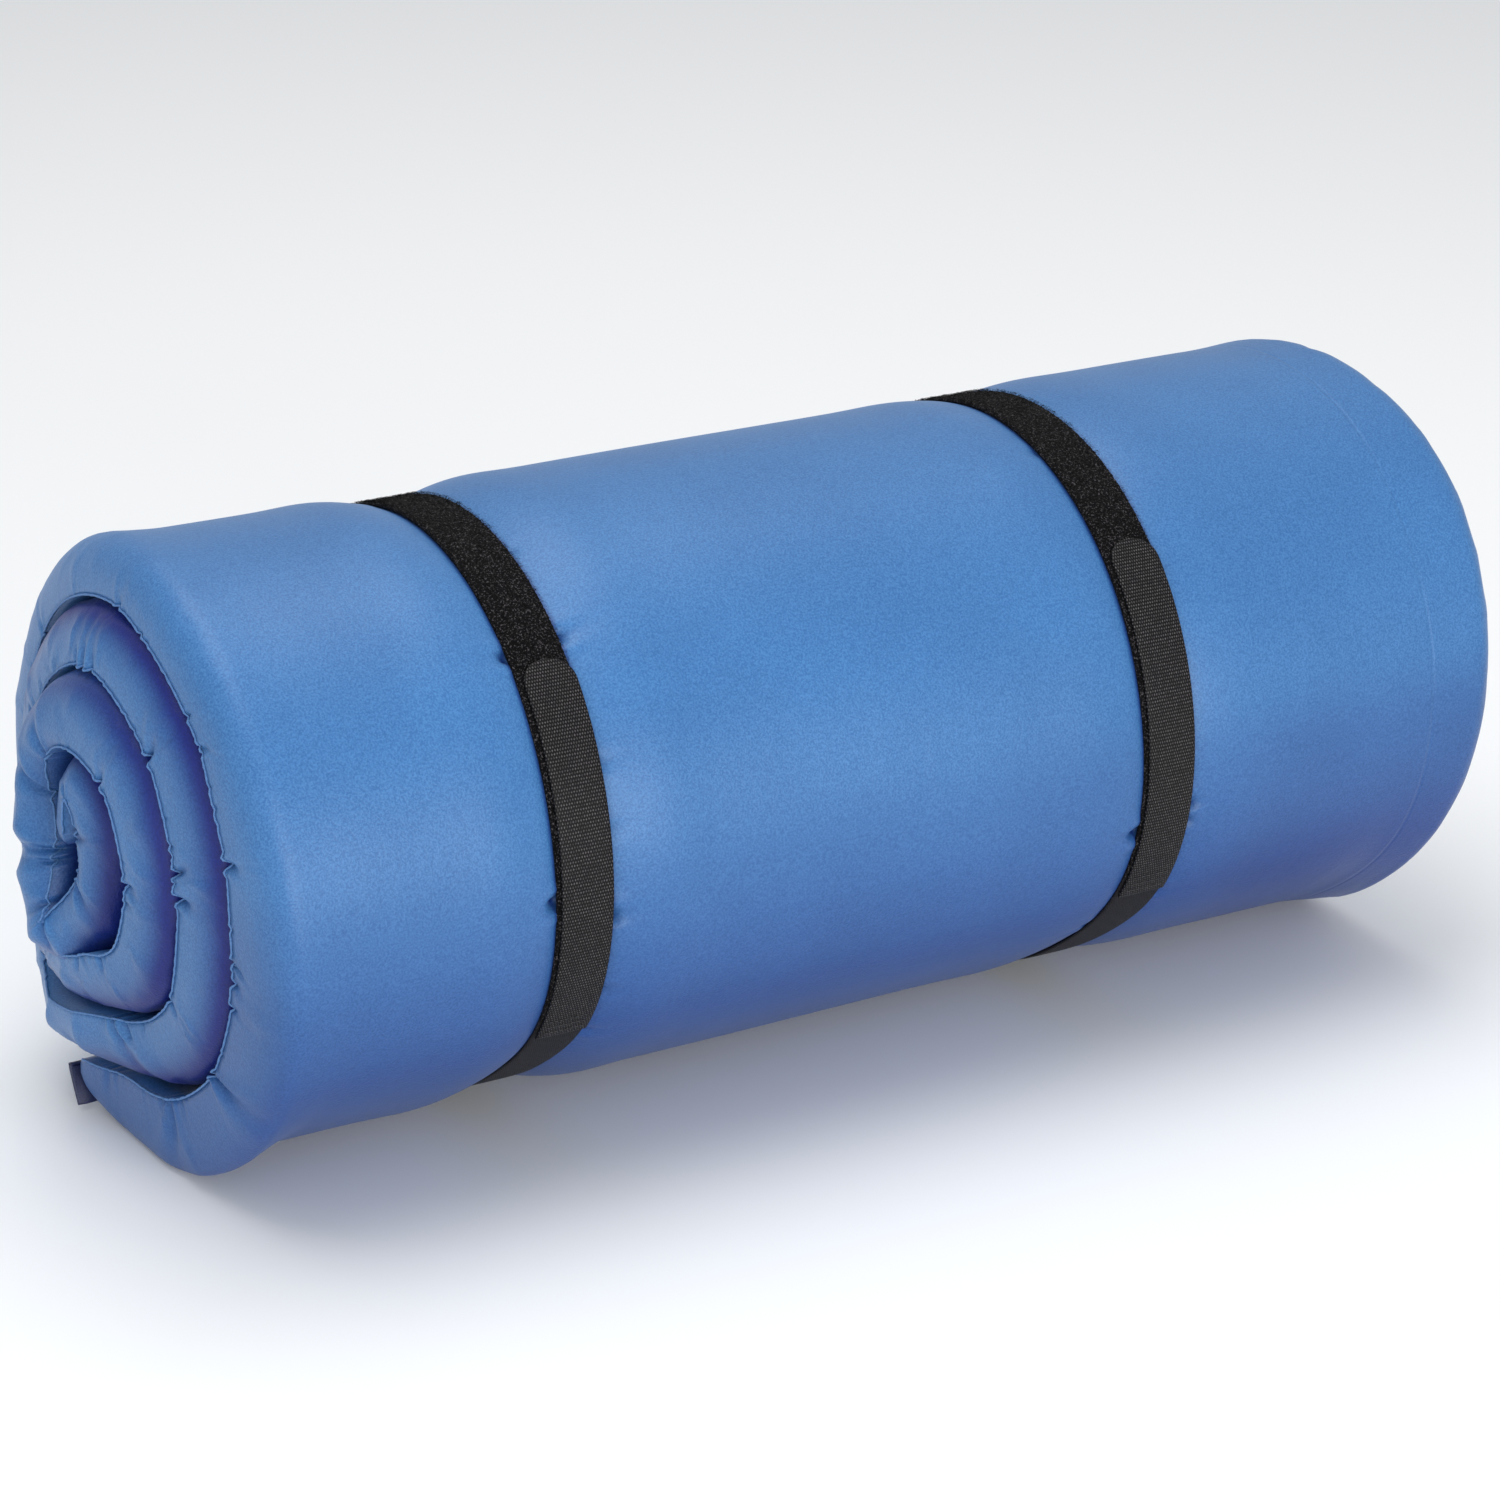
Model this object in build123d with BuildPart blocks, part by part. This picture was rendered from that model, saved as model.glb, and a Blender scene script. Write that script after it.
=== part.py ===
"""Rolled foam camping mat: one long foam pad in a sewn fabric cover, rolled up and held by two
hook-and-loop straps.  Millimetres.  +X runs along the roll, -Y is the front, +Z is up, and the
origin is on the ground under the middle of the roll."""

import math
import os

from build123d import *

# Pad and cover
PAD_WIDTH = 610  # length of the roll, edge to edge of the pad
SKIN = 3.0  # cover fabric with the foam skin that it grips
TELESCOPE = 18.0  # how far the core stands out of one end and sits back in the other
SKEW = 2.5  # degrees between the pad's edges and a square roll
TRIM_CORE_RADIUS = 30
TRIM_RIM_RADIUS = 122

# Roll
ROLL_X = 6.2  # middle of the outer turn
ROLL_Y = 1.1  # axis of the roll, from the origin
ROLL_Z = 136.7  # height of the axis above the ground, which flattens a strip of the underside

# Turns of the pad from its outer end inwards: angle from the front over the top, outer radius
# and thickness.  The first turn is flattened a little where it rests on the ground.
OUTER_TURN = [
    (245, 138.0, 18),
    (253, 138.1, 26),
    (262, 138.3, 33),
    (270, 137.0, 35),
    (278, 138.3, 36),
    (315, 138.5, 36),
    (360, 139.5, 37),
    (405, 138.5, 25.5),
    (450, 136.0, 22.5),
    (495, 137.0, 29),
    (540, 139.0, 34),
    (562, 137.5, 34),
    (582, 133.5, 32),
]
INNER_TURNS = [
    (596, 124.5, 31),
    (610, 110.0, 29),
    (630, 99.0, 29),
    (652, 98.5, 30),
    (686, 99.5, 30.5),
    (720, 100.0, 31),
    (765, 110.5, 29),
    (810, 111.0, 25),
    (855, 105.5, 28),
    (900, 102.5, 32),
    (925, 101.0, 32),
    (948, 92.5, 30),
    (968, 78.5, 28),
    (990, 67.5, 28),
    (1035, 66.0, 27.5),
    (1080, 66.5, 27),
    (1125, 79.0, 29.5),
    (1170, 83.5, 30.5),
    (1215, 75.5, 28),
    (1260, 68.0, 31),
]
# Fold at the core: how far to the front and above the axis, the way the outer face looks, thickness
CORE_FOLD = [
    (-47, -20, 195, 30),
    (-33, -35, 228, 26),
    (-19, -33, 280, 24),
    (-4, -25, 308, 25),
    (14, -13, 315, 27),
    (26, 6, 350, 25),
    (24, 27, 12, 23),
    (13, 37, 85, 22),
    (1, 25, 178, 19),
    (0, 6, 180, 18),
]

# Side seams: a folded tape sewn along the inner edge of each end of the roll
SEAM_TAPE_WIDTH = 6
SEAM_TAPE_THICKNESS = 0.6
SEAM_TAPE_SETBACK = 2
SEAM_GAP = 0.1

# Straps, each placed by its middle along the roll
STRAP_X = {"left": ROLL_X - 160.5, "right": ROLL_X + 125.8}
STRAP_WIDTH = 25
CHANNEL_WIDTH = 27
CHANNEL_DEPTH = 2.2  # the straps press this far into the cover
WEBBING_THICKNESS = 1.6
LOOP_THICKNESS = 2.0
HOOK_THICKNESS = 1.6
STRAP_CLEARANCE = 0.3
ANCHOR = 240  # both ends of each strap are sewn to the pad's outer end here
ANCHOR_ROWS = {"loop": -2.5, "webbing": 3.5}  # degrees from the anchor
HOOK_ROOT = {"left": 336, "right": 340}  # where the hook tab bends away from its sewn base
HOOK_TIP = {"left": 404, "right": 405}
HOOK_BASE_SPAN = 7
HOOK_TIP_RADIUS = 11
STITCH_THICKNESS = 0.5
STITCH_LENGTH = 19
STITCH_WIDTH = 1.2
STITCH_SETBACKS = (1.2, 3.2, 5.2)  # degrees below the hook tab's root

# Blank care label, a folded tab sewn into the outer end's corner
LABEL_WIDTH = 16
LABEL_LENGTH = 19
LABEL_THICKNESS = 1.2
LABEL_X = ROLL_X - 307
LABEL_TOP = (ROLL_Y + 63, 22)
LABEL_LEAN = 5  # degrees from upright

SECTION = Plane.YZ.offset(-PAD_WIDTH)
BLANK_LENGTH = 2 * PAD_WIDTH

os.makedirs("parts", exist_ok=True)


def polar(angle, radius):
    """Point of the cross-section at an angle from the front over the top."""
    turn = math.radians(angle)
    return (ROLL_Y - radius * math.cos(turn), ROLL_Z + radius * math.sin(turn))


def winding_rib(angle, radius, thickness):
    """Outer and inner face points of the pad on a turn."""
    return polar(angle, radius), polar(angle, radius - thickness)


def fold_rib(front, up, facing, thickness):
    """Outer and inner face points of the pad in the fold at the core."""
    turn = math.radians(facing)
    reach = (-math.cos(turn) * thickness / 2, math.sin(turn) * thickness / 2)
    middle = (ROLL_Y - front, ROLL_Z + up)
    outer = (middle[0] + reach[0], middle[1] + reach[1])
    inner = (middle[0] - reach[0], middle[1] - reach[1])
    return outer, inner


TURN_RIBS = [winding_rib(*row) for row in OUTER_TURN + INNER_TURNS]
RIBS = TURN_RIBS + [fold_rib(*row) for row in CORE_FOLD]


def face_points(depth, from_inner=False, ribs=None):
    """Points that lie at one depth below the pad's outer face, or above its inner face."""
    points = []
    for outer, inner in ribs or RIBS:
        start, end = (inner, outer) if from_inner else (outer, inner)
        share = depth / math.dist(start, end)
        points.append(tuple(a + (b - a) * share for a, b in zip(start, end)))
    return points


def pad_layer(top, bottom, plane=None):
    """Section of a layer of the rolled pad, between two rows of face points."""
    with BuildSketch(plane or SECTION) as layer:
        with BuildLine():
            for row in (top, bottom):
                for start, middle, end in zip(row[:-2:2], row[1:-1:2], row[2::2]):
                    ThreePointArc(start, middle, end)
            Line(top[-1], bottom[-1])
            Line(bottom[0], top[0])
        make_face()
    return layer.sketch


def end_wall(rib, beyond):
    """Section of the strip of cover that closes one end of the pad."""
    (oy, oz), (iy, iz) = rib
    length = math.dist(rib[0], rib[1])
    along = ((oz - iz) / length * beyond, (iy - oy) / length * beyond)
    with BuildSketch(SECTION) as wall:
        with BuildLine():
            Polyline(
                (oy, oz),
                (iy, iz),
                (iy + along[0], iz + along[1]),
                (oy + along[0], oz + along[1]),
                close=True,
            )
        make_face()
    return wall.sketch


def roll_ends(inset):
    """Solid that trims the pad's two edges: the core stands out at -X and sits back at +X."""
    lean = math.radians(SKEW)
    axis_plane = Plane(
        origin=(ROLL_X, ROLL_Y, ROLL_Z),
        x_dir=(math.cos(lean), math.sin(lean), 0),
        z_dir=(math.sin(lean), -math.cos(lean), 0),
    )
    left = inset - PAD_WIDTH / 2
    right = PAD_WIDTH / 2 - inset
    with BuildPart() as ends:
        with BuildSketch(axis_plane):
            with BuildLine():
                Polyline(
                    (left - TELESCOPE, 0),
                    (left - TELESCOPE, TRIM_CORE_RADIUS),
                    (left, TRIM_RIM_RADIUS),
                    (left, 2 * ROLL_Z),
                    (right, 2 * ROLL_Z),
                    (right, TRIM_RIM_RADIUS),
                    (right - TELESCOPE, TRIM_CORE_RADIUS),
                    (right - TELESCOPE, 0),
                    close=True,
                )
            make_face()
        revolve(axis=Axis((ROLL_X, ROLL_Y, ROLL_Z), axis_plane.x_dir))
    return ends.part


def girth_points(depth):
    """Points round the roll at one depth below its surface, bridging the step at the pad's end."""
    return [polar(angle, radius - depth) for angle, radius, _ in OUTER_TURN[:-1]]


def wedge_points(arc):
    """Corners of a sector of the cross-section between two angles, wider than the roll."""
    steps = 6
    angles = [arc[0] + (arc[1] - arc[0]) * i / steps for i in range(steps + 1)]
    return [(ROLL_Y, ROLL_Z)] + [polar(angle, 2 * ROLL_Z) for angle in angles]


def strap_band(x, width, inner_depth, outer_depth, arc=None):
    """Length of strap that follows the roll between two angles, or all round it, centred on x."""
    with BuildPart() as band:
        with BuildSketch(Plane.YZ.offset(x - width / 2)):
            with BuildLine():
                Spline(*girth_points(outer_depth), periodic=True)
            make_face()
            with BuildLine():
                Spline(*girth_points(inner_depth), periodic=True)
            make_face(mode=Mode.SUBTRACT)
            if arc:
                with BuildLine():
                    Polyline(*wedge_points(arc), close=True)
                make_face(mode=Mode.INTERSECT)
        extrude(amount=width)
    return band.part


def stitch_row(x, angle, depth):
    """Raised row of thread across a strap."""
    half_width = math.degrees(STITCH_WIDTH / 2 / ROLL_Z)
    arc = (angle - half_width, angle + half_width)
    return strap_band(x, STITCH_LENGTH, depth, depth - STITCH_THICKNESS, arc)


def write(part, label):
    part.label = label
    export_step(part, f"parts/{label}.step")


COVER_ENDS = roll_ends(0)
FOAM_ENDS = roll_ends(SKIN)
CHANNELS = [strap_band(x, CHANNEL_WIDTH, CHANNEL_DEPTH, -CHANNEL_DEPTH) for x in STRAP_X.values()]

# Foam core
with BuildPart() as foam_core:
    extrude(pad_layer(face_points(SKIN), face_points(SKIN, from_inner=True)), amount=BLANK_LENGTH)
    add(FOAM_ENDS, mode=Mode.INTERSECT)
write(foam_core.part, "foam_core")

# Cover panel on the outward face, with the channels that the straps press into it
with BuildPart() as cover_outer_panel:
    extrude(pad_layer(face_points(0), face_points(SKIN)), amount=BLANK_LENGTH)
    add(FOAM_ENDS, mode=Mode.INTERSECT)
    add(CHANNELS, mode=Mode.SUBTRACT)
    split(bisect_by=Plane.XY)
write(cover_outer_panel.part, "cover_outer_panel")

# Cover panel on the inward face
with BuildPart() as cover_inner_panel:
    extrude(pad_layer(face_points(SKIN, from_inner=True), face_points(0, from_inner=True)), amount=BLANK_LENGTH)
    add(FOAM_ENDS, mode=Mode.INTERSECT)
write(cover_inner_panel.part, "cover_inner_panel")

# Cover strips that close the pad's two long edges, which show as the spiral ends of the roll
for side, start in (("left", SECTION), ("right", Plane.YZ)):
    with BuildPart() as side_wall:
        extrude(pad_layer(face_points(0), face_points(0, from_inner=True), start), amount=PAD_WIDTH)
        add(COVER_ENDS, mode=Mode.INTERSECT)
        add(FOAM_ENDS, mode=Mode.SUBTRACT)
        split(bisect_by=Plane.XY)
    write(side_wall.part, f"cover_{side}_side_wall")

# Cover strips that close the pad's outer and inner ends
for end, rib, beyond in (("outer", RIBS[0], -SKIN), ("inner", RIBS[-1], SKIN)):
    with BuildPart() as cap:
        extrude(end_wall(rib, beyond), amount=BLANK_LENGTH)
        add(COVER_ENDS, mode=Mode.INTERSECT)
        if end == "outer":
            add(CHANNELS, mode=Mode.SUBTRACT)
    write(cap.part, f"cover_{end}_end_wall")

# Seam tapes along the inner edges of the two side walls
for side, start in (("left", SECTION), ("right", Plane.YZ)):
    tape_top = face_points(-SEAM_GAP, True, TURN_RIBS)
    tape_bottom = face_points(-SEAM_GAP - SEAM_TAPE_THICKNESS, True, TURN_RIBS)
    with BuildPart() as seam:
        extrude(pad_layer(tape_top, tape_bottom, start), amount=PAD_WIDTH)
        add(roll_ends(SEAM_TAPE_SETBACK), mode=Mode.INTERSECT)
        add(roll_ends(SEAM_TAPE_SETBACK + SEAM_TAPE_WIDTH), mode=Mode.SUBTRACT)
    write(seam.part, f"{side}_side_seam")

# Straps: webbing under the roll, a loop strip over the back and the top, and a hook tab that grips it
LOOP_DEPTH = CHANNEL_DEPTH - LOOP_THICKNESS
HOOK_DEPTH = LOOP_DEPTH - STRAP_CLEARANCE
STITCH_DEPTH = HOOK_DEPTH - HOOK_THICKNESS
for side, strap_x in STRAP_X.items():
    root = HOOK_ROOT[side]
    splice = root - HOOK_BASE_SPAN / 2

    webbing_top = CHANNEL_DEPTH - WEBBING_THICKNESS
    webbing = strap_band(strap_x, STRAP_WIDTH, CHANNEL_DEPTH, webbing_top, (ANCHOR + 0.2, splice - 0.3))
    write(webbing, f"{side}_strap_webbing")

    loop = strap_band(strap_x, STRAP_WIDTH, CHANNEL_DEPTH, LOOP_DEPTH, (splice, ANCHOR + 360 - 0.2))
    write(loop, f"{side}_loop_strip")

    base = strap_band(strap_x, STRAP_WIDTH, HOOK_DEPTH, STITCH_DEPTH, (root - HOOK_BASE_SPAN, root - 0.2))
    write(base, f"{side}_hook_base")

    with BuildPart() as hook_tab:
        add(strap_band(strap_x, STRAP_WIDTH, HOOK_DEPTH, STITCH_DEPTH, (root, HOOK_TIP[side])))
        short_edges = hook_tab.edges().filter_by(lambda edge: edge.length < 2 * HOOK_THICKNESS)
        fillet(short_edges.sort_by(Axis.Z)[-2:], radius=HOOK_TIP_RADIUS)
    write(hook_tab.part, f"{side}_hook_tab")

    with BuildPart() as hook_stitching:
        for setback in STITCH_SETBACKS:
            add(stitch_row(strap_x, root - setback, STITCH_DEPTH))
    write(hook_stitching.part, f"{side}_hook_stitching")

    with BuildPart() as anchor_stitching:
        add(stitch_row(strap_x, ANCHOR + ANCHOR_ROWS["loop"], LOOP_DEPTH))
        add(stitch_row(strap_x, ANCHOR + ANCHOR_ROWS["webbing"], webbing_top))
    write(anchor_stitching.part, f"{side}_anchor_stitching")

# Care label: a blank tape folded in half, whose cut ends are caught in the outer end's corner
with BuildPart() as care_label:
    with BuildSketch(Plane.YZ.offset(LABEL_X - LABEL_WIDTH / 2)):
        with Locations(Location(LABEL_TOP, LABEL_LEAN)):
            Rectangle(LABEL_THICKNESS, LABEL_LENGTH, align=(Align.CENTER, Align.MAX))
    extrude(amount=LABEL_WIDTH)
write(care_label.part, "care_label")
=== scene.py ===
"""Rolled foam sleeping pad with two hook-and-loop straps, dressed for the camera.  Metres in the
CAD frame; the tables of the roll's section are in millimetres, as in part.py."""

import math

import bpy
import numpy as np
from mathutils import Matrix, Vector


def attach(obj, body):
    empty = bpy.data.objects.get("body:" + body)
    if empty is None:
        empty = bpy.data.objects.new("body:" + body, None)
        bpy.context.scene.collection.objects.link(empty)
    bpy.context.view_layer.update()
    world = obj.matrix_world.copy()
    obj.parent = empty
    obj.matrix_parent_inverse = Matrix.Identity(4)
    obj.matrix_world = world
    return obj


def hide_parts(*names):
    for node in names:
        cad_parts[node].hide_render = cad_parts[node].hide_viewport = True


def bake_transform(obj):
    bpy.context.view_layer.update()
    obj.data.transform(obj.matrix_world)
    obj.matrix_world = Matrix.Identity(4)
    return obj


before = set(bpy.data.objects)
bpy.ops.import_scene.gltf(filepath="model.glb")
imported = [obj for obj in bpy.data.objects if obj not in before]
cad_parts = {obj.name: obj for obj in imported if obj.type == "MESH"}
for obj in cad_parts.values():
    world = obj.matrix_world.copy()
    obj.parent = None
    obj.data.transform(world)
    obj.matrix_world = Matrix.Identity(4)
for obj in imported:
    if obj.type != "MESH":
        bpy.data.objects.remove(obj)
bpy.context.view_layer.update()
MM = 0.001
rng = np.random.default_rng(7)

# ------------------------------------------------------------------ section of the roll
ROLL_X, ROLL_Y, ROLL_Z = 6.2, 1.1, 136.7
PAD_WIDTH = 610.0
FOLD_START, FOLD_STEP = 1260, 25  # unwrapped angle where the fold starts, and between its ribs
LAP = 606  # past this unwrapped angle the pad lies under its own outer turn

# Angle from the front over the top, outer radius, thickness: from the pad's outer end inwards
TURNS = [
    (245, 138.0, 18), (253, 138.1, 26), (262, 138.3, 33), (270, 137.0, 35), (278, 138.3, 36),
    (315, 138.5, 36), (360, 139.5, 37), (405, 138.5, 25.5), (450, 136.0, 22.5), (495, 137.0, 29),
    (540, 139.0, 34), (562, 137.5, 34), (582, 133.5, 32), (596, 124.5, 31), (610, 110.0, 29),
    (630, 99.0, 29), (652, 98.5, 30), (686, 99.5, 30.5), (720, 100.0, 31), (765, 110.5, 29),
    (810, 111.0, 25), (855, 105.5, 28), (900, 102.5, 32), (925, 101.0, 32), (948, 92.5, 30),
    (968, 78.5, 28), (990, 67.5, 28), (1035, 66.0, 27.5), (1080, 66.5, 27), (1125, 79.0, 29.5),
    (1170, 83.5, 30.5), (1215, 75.5, 30), (1260, 68.0, 37),
]
# How far to the front and above the axis, the way the outer face looks, thickness
FOLD = [
    (-44, -24, 200, 36), (-34, -42, 228, 27), (-22, -43, 285, 25), (-8, -31, 310, 26),
    (4, -16, 315, 27), (10, 6, 350, 26), (9, 28, 10, 25), (-2, 40, 85, 22), (-16, 28, 178, 21),
    (-18, 4, 180, 21),
]


def polar(angle, radius):
    turn = math.radians(angle)
    return (ROLL_Y - radius * math.cos(turn), ROLL_Z + radius * math.sin(turn))


def section_ribs():
    """Unwrapped angle, outer point and inner point of every rib."""
    rows = [(a, polar(a, r), polar(a, r - t)) for a, r, t in TURNS]
    for k, (front, up, facing, t) in enumerate(FOLD):
        turn = math.radians(facing)
        reach = (-math.cos(turn) * t / 2, math.sin(turn) * t / 2)
        mid = (ROLL_Y - front, ROLL_Z + up)
        outer = (mid[0] + reach[0], mid[1] + reach[1])
        inner = (mid[0] - reach[0], mid[1] - reach[1])
        rows.append((FOLD_START + FOLD_STEP * (k + 1), outer, inner))
    return rows


def cubic(knots, values, at):
    """Natural cubic spline through values at knots, read at at."""
    knots, values = np.asarray(knots, float), np.asarray(values, float)
    n = len(knots)
    h = np.diff(knots)
    slope = np.diff(values, axis=0) / h[:, None]
    matrix = np.zeros((n, n))
    right = np.zeros_like(values)
    matrix[0, 0] = matrix[-1, -1] = 1
    for i in range(1, n - 1):
        matrix[i, i - 1:i + 2] = h[i - 1], 2 * (h[i - 1] + h[i]), h[i]
        right[i] = 6 * (slope[i] - slope[i - 1])
    m = np.linalg.solve(matrix, right)
    k = np.clip(np.searchsorted(knots, at, side="right") - 1, 0, n - 2)
    u = (at - knots[k])[:, None]
    hk = h[k][:, None]
    first = slope[k] - hk * (2 * m[k] + m[k + 1]) / 6
    return values[k] + first * u + m[k] / 2 * u ** 2 + (m[k + 1] - m[k]) / (6 * hk) * u ** 3


RIBS = section_ribs()
RIB_ANGLE = np.array([r[0] for r in RIBS], float)
RIB_OUT = np.array([r[1] for r in RIBS])
RIB_IN = np.array([r[2] for r in RIBS])
RIB_STEPS = np.linalg.norm(np.diff((RIB_OUT + RIB_IN) / 2, axis=0), axis=1)
RIB_S = np.concatenate([[0], np.cumsum(RIB_STEPS)])


def at_angle(angle):
    """Distance along the pad, from its outer end, of an unwrapped angle."""
    return float(np.interp(angle, RIB_ANGLE, RIB_S))


def bump(x, width):
    return np.exp(-(x / width) ** 2)


def smooth(x, low, high):
    u = np.clip((x - low) / (high - low), 0, 1)
    return u * u * (3 - 2 * u)


# ------------------------------------------------------------------ creases of the spiral ends
# Unwrapped angle, depth, reach over the end face and slant of each pucker on the gathered seam
KINKS = [
    (258, 1.2, 12, 0.1), (291, 4.2, 22, -0.5), (318, 4.0, 26, 0.35), (343, 1.5, 6, 0.3),
    (350, 1.2, 6, -0.1), (378, 3.0, 9, -0.2), (402, 0.9, 6, 0.2), (446, 0.9, 8, -0.2),
    (497, 1.2, 10, 0.0), (545, 1.4, 12, 0.2), (585, 2.0, 16, 0.1), (634, 3.4, 26, 0.4),
    (641, 1.8, 12, 0.2), (683, 1.2, 9, 0.0), (727, 3.0, 10, -0.1), (735, 2.6, 10, 0.3),
    (771, 3.2, 9, 0.2), (809, 1.1, 26, 0.05), (814, 1.5, 28, 0.0), (819, 1.0, 24, -0.05),
    (866, 1.4, 12, 0.2), (905, 1.6, 14, 0.0), (952, 1.4, 12, -0.2), (985, 1.0, 9, 0.0),
    (1012, 1.4, 10, 0.1), (1088, 2.2, 9, -0.2), (1142, 2.0, 7, 0.2), (1203, 2.6, 18, 0.1),
    (1232, 2.4, 40, -0.06), (1266, 3.2, 40, 0.05), (1272, 2.4, 34, 0.0), (1296, 2.0, 16, 0.0),
    (1322, 2.6, 14, 0.2), (1330, 2.2, 14, -0.1), (1386, 2.6, 18, 0.0), (1420, 1.4, 10, 0.0),
    (1470, 1.6, 8, 0.1),
]
KINK_S = np.array([at_angle(k[0]) for k in KINKS])
KINK_DEPTH, KINK_REACH, KINK_SLANT = (np.array([k[c] for k in KINKS], float) for c in (1, 2, 3))
RIGHT_KINK_S = np.sort(KINK_S + rng.uniform(-14, 14, len(KINK_S)))
RIGHT_DEPTH = rng.uniform(1.4, 3.0, len(KINK_S))
RIGHT_REACH = rng.uniform(9, 20, len(KINK_S))
RIGHT_SLANT = rng.uniform(-0.3, 0.3, len(KINK_S))
SIDES = {
    "left": (KINK_S, KINK_DEPTH, KINK_REACH, KINK_SLANT),
    "right": (RIGHT_KINK_S, RIGHT_DEPTH, RIGHT_REACH, RIGHT_SLANT),
}


def puckers(side, s, r):
    """Depth of the gathers at distance s along the pad and r over the face from the seam."""
    depth = np.zeros(np.broadcast(s, r).shape)
    for k, d, reach, slant in zip(*SIDES[side]):
        x = s - k - slant * r
        w = 1.5 + 0.16 * np.maximum(r, 0)
        fold = bump(x, w) - 0.42 * bump(np.abs(x) - 2.1 * w, 1.1 * w)
        depth += d * fold * np.exp(-(np.maximum(r, 0) / reach) ** 1.6)
    return depth


def pillow(side, s):
    """1 halfway between two puckers and -1 at one."""
    knots = SIDES[side][0]
    k = np.clip(np.searchsorted(knots, s) - 1, 0, len(knots) - 2)
    u = np.clip((s - knots[k]) / (knots[k + 1] - knots[k]), 0, 1)
    return 2 * (1 - (2 * u - 1) ** 2) - 1


# ------------------------------------------------------------------ pad
STRAP_X = {"left": ROLL_X - 160.5, "right": ROLL_X + 125.8}
STRAP_SINK = {"left": 3.6, "right": 0.9}
STRAP_WIDTH = 25.0
STRAP_RADIUS = 137  # typical radius along a strap, to turn lengths into angles
OUTER_RADIUS = 138  # the same for the pad's outer turn
BED = {side: sink + 2.2 for side, sink in STRAP_SINK.items()}  # how deep the pad lies under a strap
HALF_FACE = 280  # nominal half width of the outer face, between its rounded edges

# Angle, edge and depth of the small pinches where a strap's edge nips the fabric
PINCHES = {
    "left": [(361, -1, 4.2), (356, 1, 4.2), (408, 1, 3.0), (406, -1, 2.6), (430, 1, 0.9),
             (384, 1, 0.9), (372, 1, 0.8), (339, 1, 1.7), (326, 1, 1.5), (465, -1, 1.0),
             (520, 1, 1.6), (560, -1, 1.6)],
    "right": [(349, -1, 3.6), (353, 1, 3.6), (349.5, 1, 2.6), (398, 1, 0.8), (430, -1, 0.6),
              (320, -1, 1.4), (330, 1, 1.2), (530, 1, 1.4), (570, -1, 1.2)],
}
# How far the left edge of the pad stands out, by unwrapped angle
EDGE = [
    (245, 314), (252, 312), (262, 308), (280, 306), (300, 303), (330, 301), (360, 302), (430, 306),
    (470, 307), (500, 306), (515, 306), (530, 307), (560, 307), (585, 317), (600, 325), (615, 324),
    (632, 317), (655, 311), (720, 311), (810, 317), (850, 318), (900, 319), (930, 324), (950, 327),
    (968, 329), (990, 327), (1035, 323), (1080, 322), (1130, 324), (1170, 328), (1215, 333),
    (1260, 336), (1285, 337), (1310, 338), (1335, 334), (1360, 330), (1410, 328), (1460, 329),
    (1510, 330),
]


def edge_x(side, angle):
    """Where an end of the pad is, by the unwrapped angle."""
    left = ROLL_X - np.interp(angle, *zip(*EDGE))
    if side == "left":
        return left
    angle = np.asarray(angle, float)
    ahead = np.mod(angle - 42 + 180, 360) - 180
    below = np.mod(angle - 315 + 180, 360) - 180
    bulge = 7.5 * bump(ahead, 44) - 6.5 * bump(below, 34)
    return left + PAD_WIDTH + bulge * smooth(-angle, -640, -580)


def along_samples(step, fine):
    """Distances along the pad, closer together at the puckers."""
    total = RIB_S[-1]
    base = np.arange(0, total, 0.5)
    density = np.full(len(base), 1 / step)
    for k in KINK_S:
        density += (1 / fine - 1 / step) * bump(base - k, 8)
    count = np.concatenate([[0], np.cumsum(density) * 0.5])
    number = int(count[-1])
    return np.interp(np.linspace(0, count[-1], number), count, np.append(base, total))


def across_samples():
    """Nominal places across the outer face, closer together at the ends and the straps."""
    base = np.arange(-HALF_FACE, HALF_FACE + 0.01, 0.5)
    gap = np.full(len(base), 7.0)
    for x in STRAP_X.values():
        near = np.abs(base - x)
        gap = np.minimum(gap, np.interp(near, [0, 9, 11, 16, 30, 60], [4, 2, 1.1, 1.2, 2.2, 7.0]))
    gap = np.minimum(gap, np.interp(HALF_FACE - np.abs(base), [0, 30, 60], [3, 4, 9]))
    count = np.concatenate([[0], np.cumsum(0.5 / gap)])
    last = HALF_FACE + 0.5
    places = np.append(base, last)
    even = np.linspace(0, count[-1], int(count[-1]))
    return np.interp(even, count, places) * HALF_FACE / last


def slim(x, angle):
    """How much the strapped middle is pulled in from the loose left end, below and over the top."""
    middle = smooth(x, -298, -256) * (1 - 0.5 * smooth(x, 262, 300))
    pull = 3.2 * bump(angle - 476, 62) + 10.5 * bump(angle - 303, 28)
    return pull * middle * smooth(-angle, -600, -560)


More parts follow.
